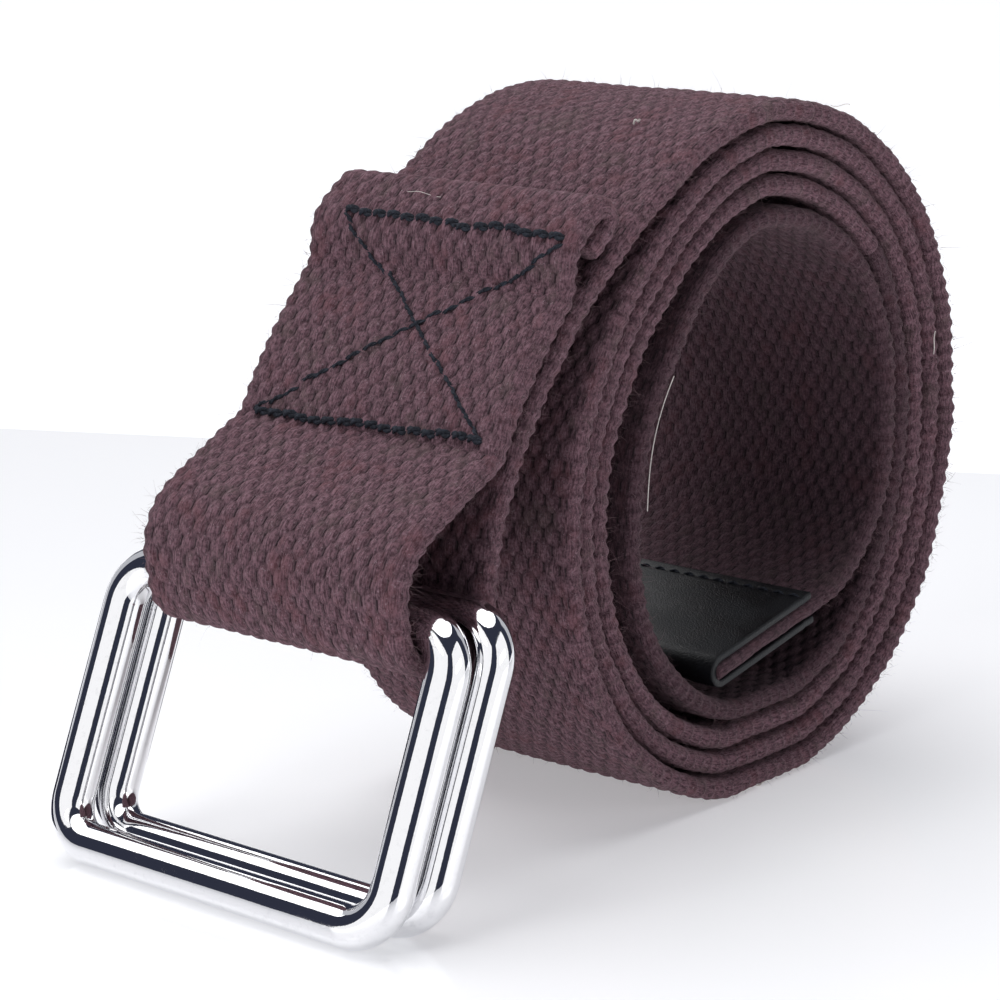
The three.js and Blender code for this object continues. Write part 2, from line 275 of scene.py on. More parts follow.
class BeltLine:
    """Middle of the webbing in side view, from the inner end to the turned-in hem."""

    STEP = 0.0002

    def __init__(self):
        coil_turns = np.arange(math.floor(COIL_TURNS * 144), -1, -1) / 144
        inner, tail = inner_end(), tail_and_loop()
        points = [*inner, *[coil_point(turns) for turns in coil_turns], *tail]
        top = coil_point(0)
        around = 2 * math.pi * COIL_RADIUS
        turns = [COIL_TURNS] * len(inner) + list(coil_turns)
        turns += [-np.linalg.norm(p - top) / around for p in tail]
        points, turns = self.spread(np.array(points), np.array(turns))
        points = self.soften(points)
        self.points, self.turns = self.spread(points, turns)
        self.run = self.lengths(self.points)
        along = np.gradient(self.points, axis=0)
        along /= np.linalg.norm(along, axis=1)[:, None]
        self.normals = np.stack([-along[:, 1], along[:, 0]], 1)
        self.drift = STRAP_WIDTH * np.array([smooth_table(SIDE_DRIFT, t) for t in self.turns])
        self.length = self.run[-1]
        self.y = REAR_BAR.y - REAR[0]
        self.x = (STRAP_LOW.x + STRAP_HIGH.x - self.drift.max() - self.drift.min()) / 2

    @staticmethod
    def lengths(points):
        steps = np.linalg.norm(np.diff(points, axis=0), axis=1)
        return np.concatenate([[0], np.cumsum(steps)])

    def spread(self, points, turns):
        """The same line with points an even step apart."""
        run = self.lengths(points)
        even = np.linspace(0, run[-1], int(run[-1] / self.STEP) + 1)
        spread = np.stack([np.interp(even, run, points[:, k]) for k in (0, 1)], 1)
        return spread, np.interp(even, run, turns)

    @staticmethod
    def soften(points):
        weights = np.exp(-np.linspace(-2, 2, 13) ** 2)
        weights /= weights.sum()
        soft = points.copy()
        for k in (0, 1):
            padded = np.pad(points[:, k], 6, mode="reflect", reflect_type="odd")
            soft[:, k] = np.convolve(padded, weights, "valid")
        return soft

    def place(self, run, across, up):
        """Points of the row frame for places on the webbing."""
        def at(values):
            return np.interp(run, self.run, values)

        y = at(self.points[:, 0]) + at(self.normals[:, 0]) * up + self.y
        z = at(self.points[:, 1]) + at(self.normals[:, 1]) * up
        return np.stack([at(self.drift) + self.x + across, y, z], 1)

    def pose(self, run, across, up, turn=0.0):
        """Matrix of a place on the webbing: X along it, turned towards the row frame's X, and Z out of it."""
        here, ahead = self.place(np.array([run, run + 0.0005]), across, up)
        along = Vector(ahead - here).normalized()
        out = Vector((1, 0, 0)).cross(along).normalized()
        matrix = Matrix((along, out.cross(along), out)).transposed().to_4x4()
        matrix.translation = Vector(here)
        return matrix @ Matrix.Rotation(-turn, 4, "Z")


LINE = BeltLine()
REPEAT = LINE.length / WEAVE_REPEATS
HEM_FOLD = LINE.length - HEM_RETURN - math.pi * PITCH / 4


# Modelling helpers

def deselect_all():
    if bpy.context.object and bpy.context.object.mode != "OBJECT":
        bpy.ops.object.mode_set(mode="OBJECT")
    bpy.ops.object.select_all(action="DESELECT")


def activate(obj):
    deselect_all()
    obj.select_set(True)
    bpy.context.view_layer.objects.active = obj


def settle(obj):
    """Puts the object's place into its mesh."""
    activate(obj)
    bpy.ops.object.transform_apply(location=True, rotation=True, scale=True)


def apply_modifiers(obj):
    activate(obj)
    for modifier in list(obj.modifiers):
        bpy.ops.object.modifier_apply(modifier=modifier.name)


def coordinates(obj):
    co = np.zeros(len(obj.data.vertices) * 3, np.float32)
    obj.data.vertices.foreach_get("co", co)
    return co.reshape(-1, 3).astype(float)


def set_coordinates(obj, co):
    obj.data.vertices.foreach_set("co", co.astype(np.float32).ravel())
    obj.data.update()


def keep_places(obj, name, places):
    """Stores a place for each point, for the material to read."""
    attribute = obj.data.attributes.new(name, "FLOAT_VECTOR", "POINT")
    attribute.data.foreach_set("vector", places.astype(np.float32).ravel())


def select_edges(obj, wanted):
    mesh = bmesh.from_edit_mesh(obj.data)
    for edge in mesh.edges:
        edge.select_set(wanted(edge))
    mesh.select_flush_mode()
    bmesh.update_edit_mesh(obj.data)


def finish_piece(obj, name, body, material):
    obj.name = name
    obj.data.name = name
    obj.data.materials.clear()
    obj.data.materials.append(material)
    activate(obj)
    bpy.ops.object.shade_smooth()
    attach(obj, body)
    return obj


def joined_copies(master, matrices, name):
    """One object of the master's copies at each matrix. The master is removed."""
    copies = []
    for matrix in matrices:
        copy = bpy.data.objects.new(name, master.data.copy())
        bpy.context.scene.collection.objects.link(copy)
        copy.data.transform(matrix)
        copies.append(copy)
    bpy.data.objects.remove(master)
    deselect_all()
    for copy in copies:
        copy.select_set(True)
    bpy.context.view_layer.objects.active = copies[0]
    bpy.ops.object.join()
    return bpy.context.object


# Materials

class Nodes:
    """Adds and links the nodes of a material or a group."""

    def __init__(self, tree):
        self.tree = tree

    def add(self, kind, **values):
        node = self.tree.nodes.new(kind)
        for key, value in values.items():
            setattr(node, key, value)
        return node

    def link(self, source, target):
        self.tree.links.new(source, target)

    def feed(self, node, inputs):
        """Links or sets inputs by their name or place."""
        for key, value in inputs.items():
            socket = node.inputs[key]
            if isinstance(value, bpy.types.NodeSocket):
                self.link(value, socket)
            else:
                socket.default_value = value
        return node

    def math(self, operation, *values):
        node = self.add("ShaderNodeMath", operation=operation)
        self.feed(node, dict(enumerate(values)))
        return node.outputs[0]

    def mix(self, factor, a, b):
        node = self.add("ShaderNodeMix", data_type="RGBA")
        self.feed(node, {0: factor, 6: a, 7: b})
        return node.outputs[2]

    def noise(self, vector, scale, detail=2.0, roughness=0.5):
        node = self.add("ShaderNodeTexNoise")
        self.feed(node, {"Vector": vector, "Scale": scale, "Detail": detail, "Roughness": roughness})
        return node.outputs["Fac"]

    def stretch(self, vector, scale):
        node = self.add("ShaderNodeMapping")
        self.feed(node, {"Vector": vector, "Scale": scale})
        return node.outputs["Vector"]

    def spread(self, value, low, high, to_low=0.0, to_high=1.0):
        node = self.add("ShaderNodeMapRange", interpolation_type="SMOOTHSTEP")
        self.feed(node, {0: value, 1: low, 2: high, 3: to_low, 4: to_high})
        return node.outputs[0]

    def bump(self, height, strength, distance):
        node = self.add("ShaderNodeBump")
        self.feed(node, {"Strength": strength, "Distance": distance, "Height": height})
        return node.outputs["Normal"]


def new_group(name, inputs, outputs):
    tree = bpy.data.node_groups.new(name, "ShaderNodeTree")
    for label, kind in inputs:
        tree.interface.new_socket(name=label, in_out="INPUT", socket_type=kind)
    for label, kind in outputs:
        tree.interface.new_socket(name=label, in_out="OUTPUT", socket_type=kind)
    nodes = Nodes(tree)
    return tree, nodes, nodes.add("NodeGroupInput"), nodes.add("NodeGroupOutput")


def weave_group():
    """Crowns of the weave as domes in brick order, and the creases between them."""
    tree, n, source, result = new_group(
        "Plain weave",
        [("Place", "NodeSocketVector"), ("Column", "NodeSocketFloat"), ("Repeat", "NodeSocketFloat")],
        [("Height", "NodeSocketFloat"), ("Creases", "NodeSocketFloat")],
    )
    parts = n.feed(n.add("ShaderNodeSeparateXYZ"), {"Vector": source.outputs["Place"]})
    steps = {"X": source.outputs["Repeat"], "Y": n.math("MULTIPLY", source.outputs["Column"], 2.0)}
    reaches = {"X": n.math("MULTIPLY", source.outputs["Repeat"], CROWN_REACH),
               "Y": n.math("MULTIPLY", source.outputs["Column"], CROWN_SPREAD)}
    domes = []
    for shift in (0.0, 0.5):
        squares = []
        for axis, step in steps.items():
            moved = n.math("MULTIPLY_ADD", step, shift, parts.outputs[axis])
            half = n.math("MULTIPLY", step, 0.5)
            off = n.math("WRAP", moved, half, n.math("MULTIPLY", step, -0.5))
            squares.append(n.math("POWER", n.math("ABSOLUTE", n.math("DIVIDE", off, reaches[axis])), 2.0))
        inside = n.math("SUBTRACT", 1.0, n.math("ADD", *squares))
        domes.append(n.math("SQRT", n.math("MAXIMUM", inside, CREASE_FLOOR ** 2)))
    height = n.math("MAXIMUM", *domes)
    n.link(height, result.inputs["Height"])
    n.link(n.spread(height, 0.34, 0.66, 1.0, 0.0), result.inputs["Creases"])
    return tree


def fibre_group():
    """Fine yarn fibres along the place's X, loose ones across them, pale flecks of painted glint and broad
    patches.
    """
    tree, n, source, result = new_group(
        "Yarn fibres",
        [("Place", "NodeSocketVector"), ("Along", "NodeSocketFloat"), ("Across", "NodeSocketFloat")],
        [("Fibres", "NodeSocketFloat"), ("Flecks", "NodeSocketFloat"), ("Patches", "NodeSocketFloat")],
    )
    place = source.outputs["Place"]
    scale = n.feed(n.add("ShaderNodeCombineXYZ"), {
        "X": source.outputs["Along"], "Y": source.outputs["Across"], "Z": source.outputs["Across"]})
    streaks = n.noise(n.stretch(place, scale.outputs[0]), 1.0, 3.0, 0.6)
    loose = n.noise(place, 2600.0, 2.0, 0.7)
    n.link(n.math("MULTIPLY_ADD", loose, 0.45, n.math("MULTIPLY", streaks, 0.55)), result.inputs["Fibres"])
    # Flecks: sparse specks where the fibre tips get a painted glint.
    n.link(n.spread(n.noise(place, 3600.0, 2.0, 0.8), 0.58, 0.74), result.inputs["Flecks"])
    n.link(n.noise(place, 210.0, 4.0, 0.65), result.inputs["Patches"])
    return tree


def grain_group():
    """Cells and creases of smooth leather."""
    tree, n, source, result = new_group(
        "Leather grain",
        [("Place", "NodeSocketVector"), ("Size", "NodeSocketFloat")],
        [("Grain", "NodeSocketFloat"), ("Clouds", "NodeSocketFloat")],
    )
    place = source.outputs["Place"]
    cells = n.add("ShaderNodeTexVoronoi", feature="DISTANCE_TO_EDGE")
    n.feed(cells, {"Vector": place, "Scale": n.math("DIVIDE", 1.0, source.outputs["Size"])})
    pebbles = n.spread(cells.outputs["Distance"], 0.0, 0.22)
    n.link(n.math("MULTIPLY_ADD", n.noise(place, 5200.0), 0.3, pebbles), result.inputs["Grain"])
    n.link(n.noise(place, 190.0, 3.0, 0.55), result.inputs["Clouds"])
    return tree


def polish_group():
    """Light handling marks, slow waves and fine pores of polished metal."""
    tree, n, source, result = new_group(
        "Polish marks",
        [("Place", "NodeSocketVector")],
        [("Marks", "NodeSocketFloat"), ("Skin", "NodeSocketFloat")],
    )
    place = source.outputs["Place"]
    n.link(n.spread(n.noise(place, 900.0, 4.0, 0.7), 0.5, 0.75), result.inputs["Marks"])
    waves, pores = n.noise(place, 160.0, 1.0), n.noise(place, 2400.0, 2.0, 0.6)
    n.link(n.math("MULTIPLY_ADD", pores, 0.06, waves), result.inputs["Skin"])
    return tree


def group_node(n, name):
    node = n.add("ShaderNodeGroup")
    node.node_tree = bpy.data.node_groups[name]
    return node


def new_material(name):
    material = bpy.data.materials.new(name)
    material.use_nodes = True
    n = Nodes(material.node_tree)
    shader = material.node_tree.nodes["Principled BSDF"]
    return material, n, shader


def canvas_material(settings, name="Brown canvas", keep=1.0):
    """Canvas, which keeps only the given share of its brightness, the rest painted shade, as on the inmost turn
    inside the roll.
    """
    material, n, shader = new_material(name)
    flat = n.add("ShaderNodeAttribute", attribute_name="flat").outputs["Vector"]
    lattice = n.add("ShaderNodeAttribute", attribute_name="lattice").outputs["Vector"]
    weave = n.feed(group_node(n, "Plain weave"), {"Place": lattice, "Column": settings.column, "Repeat": REPEAT})
    yarn = n.feed(group_node(n, "Yarn fibres"), {"Place": flat, "Along": 1000.0, "Across": 5600.0})
    fibres = n.spread(yarn.outputs["Fibres"], 0.36, 0.64)
    colour = n.mix(fibres, tuple(settings.shade), tuple(settings.light))
    red = n.spread(yarn.outputs["Patches"], 0.5, 0.7, 0.0, 0.4)
    olive = n.spread(yarn.outputs["Patches"], 0.32, 0.46, 0.4, 0.0)
    colour = n.mix(red, colour, tuple(settings.red))
    colour = n.mix(olive, colour, tuple(settings.olive))
    # Painted highlight: the pale flecks lighten the colour as glints on the fibre tips.
    colour = n.mix(n.math("MULTIPLY", yarn.outputs["Flecks"], 0.75), colour, tuple(settings.fleck))
    # Painted shade: the creases and the flanks of the crowns are darkened towards the crease colour, where shade
    # falls between them.
    flank_shade = n.spread(weave.outputs["Height"], 0.5, 0.98, 0.42, 0.0)
    creases = n.math("MAXIMUM", n.math("MULTIPLY", weave.outputs["Creases"], 0.9), flank_shade)
    colour = n.mix(creases, colour, tuple(settings.crease))
    # Painted shade: the whole material is darkened towards the crease colour by the share it does not keep.
    colour = n.mix(1.0 - keep, colour, tuple(settings.crease))
    relief = n.math("MULTIPLY_ADD", fibres, 0.4, n.math("SUBTRACT", 1.0, weave.outputs["Creases"]))
    n.feed(shader, {"Base Color": colour, "Roughness": 0.95, "Normal": n.bump(relief, 0.9, 0.0002),
                    "Specular IOR Level": 0.15, "Sheen Weight": 0.12, "Sheen Roughness": 0.5,
                    "Sheen Tint": (0.75, 0.6, 0.62, 1)})
    return material


def loose_fibre_material(settings):
    material, n, shader = new_material("Loose canvas fibre")
    n.feed(shader, {"Base Color": tuple(settings.loose), "Roughness": 0.9, "Specular IOR Level": 0.2})
    return material


def thread_material(settings):
    material, n, shader = new_material("Black thread")
    place = n.add("ShaderNodeTexCoord").outputs["Object"]
    yarn = n.feed(group_node(n, "Yarn fibres"), {"Place": place, "Along": 3000.0, "Across": 6000.0})
    fibres = n.spread(yarn.outputs["Fibres"], 0.35, 0.7)
    colour = n.mix(fibres, tuple(settings.thread), tuple(settings.worn))
    n.feed(shader, {"Base Color": colour, "Roughness": 0.8, "Normal": n.bump(fibres, 0.6, 0.0001),
                    "Specular IOR Level": 0.25})
    return material


def metal_material(settings):
    material, n, shader = new_material("Polished nickel")
    place = n.add("ShaderNodeTexCoord").outputs["Object"]
    polish = n.feed(group_node(n, "Polish marks"), {"Place": place})
    marks = polish.outputs["Marks"]
    rough = n.spread(marks, 0.0, 1.0, settings.roughness, settings.roughness + 0.08)
    colour = n.mix(n.math("MULTIPLY", marks, 0.3), tuple(settings.colour), tuple(settings.dull))
    n.feed(shader, {"Base Color": colour, "Roughness": rough, "Metallic": 1.0,
                    "Normal": n.bump(polish.outputs["Skin"], 0.35, 0.00014)})
    return material


def leather_material(settings):
    material, n, shader = new_material("Black leather")
    place = n.add("ShaderNodeTexCoord").outputs["Object"]
    grain = n.feed(group_node(n, "Leather grain"), {"Place": place, "Size": settings.grain})
    clouds = n.spread(grain.outputs["Clouds"], 0.35, 0.7)
    # Painted sheen: bluish lighter colour laid over the leather in cloudy patches.
    colour = n.mix(clouds, tuple(settings.colour), tuple(settings.sheen))
    rough = n.spread(grain.outputs["Clouds"], 0.3, 0.7, 0.34, 0.5)
    n.feed(shader, {"Base Color": colour, "Roughness": rough, "Specular IOR Level": 0.28,
                    "Normal": n.bump(grain.outputs["Grain"], 0.3, 0.00008)})
    return material


def material_of(name, maker, settings):
    return bpy.data.materials.get(name) or maker(settings)


# Settings

def colour_setting(name, description, default):
    return bpy.props.FloatVectorProperty(name=name, description=description, default=(*default, 1.0),
                                         subtype="COLOR", size=4, min=0.0, max=1.0)


def length_setting(name, description, default):
    return bpy.props.FloatProperty(name=name, description=description, default=default,
                                   unit="LENGTH", precision=5)


class WebbingSettings(bpy.types.PropertyGroup):
    column: length_setting("Column", "Width of one warp column", STRAP_WIDTH / 35.5)
    relief: length_setting("Relief", "Depth of the creases between the crowns", 0.00068)
    proud: length_setting("Proud", "How far the crowns stand over the flat face", 0.0001)
    cockle: length_setting("Cockle", "Unevenness of the cloth", 0.00025)
    wander: length_setting("Wander", "How far the crowns stray from their rows", 0.0003)
    light: colour_setting("Light yarn", "Colour of the fibres that catch the light", (0.25, 0.139, 0.17))
    shade: colour_setting("Dark yarn", "Colour of the fibres in between", (0.062, 0.031, 0.04))
    red: colour_setting("Red patches", "Redder patches of the dye", (0.17, 0.06, 0.068))
    olive: colour_setting("Olive patches", "Duller patches of the dye", (0.11, 0.083, 0.075))
    # Colour of the painted glints on the fibre tips.
    fleck: colour_setting("Flecks", "Painted glints on the fibre tips", (0.34, 0.25, 0.28))
    # Colour of the painted shade in the creases between the crowns and on their flanks.
    crease: colour_setting("Creases", "Colour of the painted shade between the crowns", (0.016, 0.008, 0.012))
    loose: colour_setting("Loose fibres", "Colour of the fibres that stand off the cloth", (0.2, 0.13, 0.14))
    lint: colour_setting("Lint", "Colour of the stray fibres", (0.75, 0.7, 0.66))
    # Share of its brightness that the inmost turn keeps; the rest is painted shade inside the roll.
    shaded_inner: bpy.props.FloatProperty(name="Shaded inner", description="Share of the brightness that the inmost turn keeps under its painted shade",
                                    default=0.5, min=0.0, max=1.0, subtype="FACTOR")
    fuzz: length_setting("Fuzz", "Length of the loose fibres", 0.001)


class StitchSettings(bpy.types.PropertyGroup):
    thread: colour_setting("Thread", "Colour of the sewing thread", (0.006, 0.007, 0.012))
    worn: colour_setting("Worn thread", "Colour of the thread's fibres", (0.035, 0.042, 0.06))
    bar: length_setting("Bar thread", "Thickness of the doubled thread in the two bars", 0.001)
    cross: length_setting("Cross thread", "Thickness of the single thread in the cross", 0.00052)
    stitch: length_setting("Stitch", "Length of one stitch", 0.0026)


class RingSettings(bpy.types.PropertyGroup):
    colour: colour_setting("Metal", "Colour of the polished metal", (0.8, 0.8, 0.815))
    dull: colour_setting("Dull metal", "Colour of the handling marks", (0.6, 0.6, 0.62))
    roughness: bpy.props.FloatProperty(name="Roughness", description="Roughness of the polish",
                                       default=0.035, min=0.0, max=1.0, subtype="FACTOR")


class LeatherSettings(bpy.types.PropertyGroup):
    colour: colour_setting("Leather", "Colour of the leather", (0.0022, 0.003, 0.0046))
    # Colour of the painted sheen, laid in cloudy patches.
    sheen: colour_setting("Leather sheen", "Colour of the painted sheen in cloudy patches on the leather", (0.0065, 0.0085, 0.0115))
    grain: length_setting("Grain", "Size of the leather's grain", 0.0004)


class StageSettings(bpy.types.PropertyGroup):
    floor: colour_setting("Floor", "Colour of the floor", (0.87, 0.87, 0.885))
    glow: bpy.props.FloatProperty(name="Glow", description="Light from below the white floor",
                                  default=0.34, min=0.0)
    sky: bpy.props.FloatProperty(name="Sky light", description="Strength of the wide light overhead",
                                 default=2.75, min=0.0)
    front: bpy.props.FloatProperty(name="Front light", description="Strength of the soft light at the front left",
                                   default=1.7, min=0.0, unit="POWER")
    right: bpy.props.FloatProperty(name="Right light", description="Strength of the low light at the right",
                                   default=1.0, min=0.0, unit="POWER")
    ambient: bpy.props.FloatProperty(name="Ambient", description="Strength of the light all round",
                                     default=0.06, min=0.0)


# Webbing

def lattice_places(flat, settings):
    """Where each point lies in the brick pattern of the weave, with the crowns a little out of line."""
    x, y, z = flat.T
    half = STRAP_WIDTH / 2 - STRAP_THICKNESS / 2
    edge = np.clip((np.abs(y) - half) / (STRAP_THICKNESS / 2), 0, 1)
    other_face = np.where(z < 0, settings.column, 0)
    noise.seed_set(1)
    stray = np.array([noise.noise_vector(Vector((px * 260, py * 260, pz * 500))) for px, py, pz in flat])
    fade = settings.wander * (1 - edge)
    across = (np.round(half / settings.column - 0.5) + 0.5) * settings.column
    level = np.where(edge > 0.3, across, y + other_face + stray[:, 1] * fade)
    return np.stack([x + stray[:, 0] * fade, level, edge], 1)


def crown_height(lattice, column):
    """Height of the weave's crowns, 1 at their tops, at places in its brick pattern."""
    height = np.full(len(lattice), CREASE_FLOOR)
    for shift in (0, 0.5):
        x = (lattice[:, 0] / REPEAT + shift + 0.5) % 1 - 0.5
        y = (lattice[:, 1] / column / 2 + shift + 0.5) % 1 - 0.5
        inside = 1 - (x / CROWN_REACH) ** 2 - (2 * y / CROWN_SPREAD) ** 2
        height = np.maximum(height, np.sqrt(np.clip(inside, 0, 1)))
    return height


def weave_relief(flat, lattice, settings):
    """Moves the points of flat webbing out to the crowns and creases of its weave."""
    run, edge = flat[:, 0], lattice[:, 2]
    half = STRAP_WIDTH / 2 - STRAP_THICKNESS / 2
    out_y = np.where(edge > 0, np.sign(flat[:, 1]) * (np.abs(flat[:, 1]) - half), 0)
    out = np.stack([out_y, np.where(edge > 0, flat[:, 2], np.sign(flat[:, 2]))], 1)
    out /= np.linalg.norm(out, axis=1)[:, None]
    beads = 0.5 + 0.5 * np.cos(4 * math.pi * lattice[:, 0] / REPEAT + math.pi * (flat[:, 1] > 0))
    height = crown_height(lattice, settings.column) * (1 - edge) + (0.45 + 0.55 * beads) * edge
    squeezed = np.maximum(1 - smooth_step(run, LEATHER_LENGTH - 0.001, LEATHER_LENGTH + 0.003),
                          smooth_step(run, HEM_FOLD - 0.006, HEM_FOLD - 0.002) * (flat[:, 2] < 0))
    move = settings.proud - settings.relief * (1 - height) * (1 - 0.8 * squeezed)
    moved = flat.copy()
    moved[:, 1:] += out * move[:, None]
    return moved


def weave_repeat(settings, start, columns_up, columns_down):
    """One repeat of the weave: a fine face, both selvedges turned down, and the other face bridged."""
    flat_width = STRAP_WIDTH - STRAP_THICKNESS
    bpy.ops.mesh.primitive_grid_add(x_subdivisions=ROWS_PER_REPEAT, y_subdivisions=columns_up, size=1)
    obj = bpy.context.object
    obj.scale = (REPEAT, flat_width, 1)
    obj.location = (start + REPEAT / 2, 0, STRAP_THICKNESS / 2)
    settle(obj)
    bpy.ops.object.mode_set(mode="EDIT")
    bpy.ops.mesh.select_mode(type="EDGE")
    select_edges(obj, lambda e: all(abs(v.co.y) > flat_width / 2 - 1e-6 for v in e.verts))
    steps = 6
    width, level = flat_width, STRAP_THICKNESS / 2
    for i in range(1, steps + 1):
        angle = math.pi / 2 - math.pi * i / steps
        next_width = flat_width + STRAP_THICKNESS * math.cos(angle)
        next_level = STRAP_THICKNESS / 2 * math.sin(angle)
        bpy.ops.mesh.extrude_edges_move(
            TRANSFORM_OT_translate={"value": (0, 0, next_level - level)})
        bpy.ops.transform.resize(value=(1, next_width / width, 1))
        width, level = next_width, next_level
    bpy.ops.mesh.bridge_edge_loops(number_cuts=columns_down - 1)
    bpy.ops.object.mode_set(mode="OBJECT")
    return obj


def fill_open_ends(obj):
    activate(obj)
    bpy.ops.object.mode_set(mode="EDIT")
    bpy.ops.mesh.select_mode(type="EDGE")
    for end in (min, max):
        mesh = bmesh.from_edit_mesh(obj.data)
        limit = end(v.co.x for v in mesh.verts)
        select_edges(obj, lambda e: e.is_boundary and all(abs(v.co.x - limit) < 1e-5 for v in e.verts))
        bpy.ops.mesh.edge_face_add()
    bpy.ops.mesh.select_all(action="SELECT")
    bpy.ops.mesh.normals_make_consistent(inside=False)
    bpy.ops.object.mode_set(mode="OBJECT")


def webbing_piece(settings, name, first, last, columns_up, columns_down, material):
    """A stretch of webbing from one repeat of the weave to another, laid along the belt's line."""
    obj = weave_repeat(settings, first * REPEAT, columns_up, columns_down)
    array = obj.modifiers.new("Repeats", "ARRAY")
    array.count = last - first
    array.use_relative_offset = False
    array.use_constant_offset = True
    array.constant_offset_displace = (REPEAT, 0, 0)
    array.use_merge_vertices = True
    array.merge_threshold = 1e-5
    apply_modifiers(obj)
    fill_open_ends(obj)
    flat = coordinates(obj)
    lattice = lattice_places(flat, settings)
    keep_places(obj, "flat", flat)
    keep_places(obj, "lattice", lattice)
    set_coordinates(obj, weave_relief(flat, lattice, settings))
    for axis, size, share in (("Z", 0.006, 1), ("Y", 0.009, 3)):
        texture = bpy.data.textures.new(f"Cockle {axis}", "CLOUDS")
        texture.noise_scale = size
        cockle = obj.modifiers.new(f"Cockle {axis}", "DISPLACE")
        cockle.texture = texture
        cockle.texture_coords = "LOCAL"
        cockle.direction = axis
        cockle.strength = settings.cockle * share
        cockle.mid_level = 0.5
    apply_modifiers(obj)
    woven = coordinates(obj)
    full = smooth_step(woven[:, 0], LEATHER_LENGTH + 0.001, LEATHER_LENGTH + 0.006)
    pressed = PRESSED / STRAP_THICKNESS
    laid = LINE.place(woven[:, 0], woven[:, 1], woven[:, 2] * (pressed + (1 - pressed) * full))
    laid[:, 2] = np.maximum(laid[:, 2], 0.00001)
    set_coordinates(obj, laid)
    finish_piece(obj, name, "belt", material)
    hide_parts("strap")
    return obj


class BELT_OT_webbing(bpy.types.Operator):
    """Weaves the webbing in four stretches, fine where a face shows and plain between the turns"""
    bl_idname = "belt.webbing"
    bl_label = "Webbing"

    def execute(self, context):
        settings = context.scene.belt_webbing
        fine, plain = 106, 12
        canvas = canvas_material(settings)
        # The inmost turn gets a darker copy of the canvas as painted shade inside the roll.
        shaded_inner = canvas_material(settings, "Shaded inner canvas", settings.shaded_inner)
        webbing_piece(settings, "webbing_inner_turn", 0, 68, fine, plain, shaded_inner)
        webbing_piece(settings, "webbing_middle_turns", 68, 182, plain, plain, canvas)
        webbing_piece(settings, "webbing_outer_turn", 182, 256, plain, fine, canvas)
        webbing_piece(settings, "webbing_buckle_end", 256, WEAVE_REPEATS, fine, fine, canvas)
        return {"FINISHED"}


# Stitching

def stitch_master(thickness, length):
    """One stitch of two twisted strands, bowed so that its ends sink into the cloth."""
    bpy.ops.mesh.primitive_cylinder_add(vertices=6, radius=thickness * 0.3, depth=length,
                                        end_fill_type="NGON", rotation=(0, math.pi / 2, 0))
    obj = bpy.context.object
    settle(obj)
    bpy.ops.object.mode_set(mode="EDIT")
    bpy.ops.mesh.select_mode(type="EDGE")
    select_edges(obj, lambda e: abs(e.verts[0].co.x - e.verts[1].co.x) > length / 2)
    bpy.ops.mesh.subdivide(number_cuts=6)
    bpy.ops.object.mode_set(mode="OBJECT")
    strand = coordinates(obj)
    strands = []
    for phase in (0, math.pi):
        angle = strand[:, 0] / length * 2.2 * math.pi + phase
        twisted = strand.copy()
        ends = np.sqrt(np.clip(1 - (2 * strand[:, 0] / length) ** 2, 0.12, 1))
        twisted[:, 1] = strand[:, 1] * ends + np.sin(angle) * thickness * 0.24
        twisted[:, 2] = (strand[:, 2] * ends + np.cos(angle) * thickness * 0.2
                         + thickness * (0.42 - 1.5 * (strand[:, 0] / length) ** 2 * 2))
        strands.append(twisted)
    set_coordinates(obj, strands[0])
    other = bpy.data.objects.new("strand", obj.data.copy())
    bpy.context.scene.collection.objects.link(other)
    set_coordinates(other, strands[1])
    deselect_all()
    other.select_set(True)
    obj.select_set(True)
    bpy.context.view_layer.objects.active = obj
    bpy.ops.object.join()
    return obj


def seam_matrices(start, end, stitch, lift, wobble=0.00012, seed=1):
    """Places of the stitches of one seam between two places on the webbing."""
    random = np.random.default_rng(seed)
    way = Vector((end[0] - start[0], end[1] - start[1]))
    count = round(way.length / (stitch * 0.8))
    turn = math.atan2(way.y, way.x)
    places = []
    for i in range(count):
        t = (i + 0.5) / count
        run = start[0] + way.x * t + random.normal(0, wobble)
        across = start[1] + way.y * t + random.normal(0, wobble)
        places.append(LINE.pose(run, across, lift, turn + random.normal(0, 0.05)))
    return places


class BELT_OT_stitching(bpy.types.Operator):
    """Sews the crossed box through the flap; the row along the leather tip is sewn with the leather."""
    bl_idname = "belt.stitching"
    bl_label = "Stitching"

    def execute(self, context):
        settings = context.scene.belt_stitching
        top, bottom = HEM_FOLD - 0.0069, HEM_FOLD - 0.0314
        lower_left, lower_right = (bottom - 0.0006, -0.016), (bottom + 0.0006, 0.0164)
        upper_left, upper_right = (top, -0.0142), (top - 0.0003, 0.0176)
        face = STRAP_THICKNESS / 2 - 0.00012
        material = material_of("Black thread", thread_material, settings)
        bars = []
        for seed, (start, end) in enumerate([(lower_left, lower_right), (upper_left, upper_right)]):
            bars += seam_matrices(start, end, settings.stitch, face, seed=seed)
        master = stitch_master(settings.bar, settings.stitch)
        obj = joined_copies(master, bars, "flap_bars")
        finish_piece(obj, "flap_bars", "belt", material)
        cross = seam_matrices(lower_left, upper_right, settings.stitch, face, seed=3)
        cross += seam_matrices(lower_right, upper_left, settings.stitch, face, seed=4)
        master = stitch_master(settings.cross, settings.stitch)
        obj = joined_copies(master, cross, "flap_cross")
        finish_piece(obj, "flap_cross", "belt", material)
        return {"FINISHED"}


# Rings

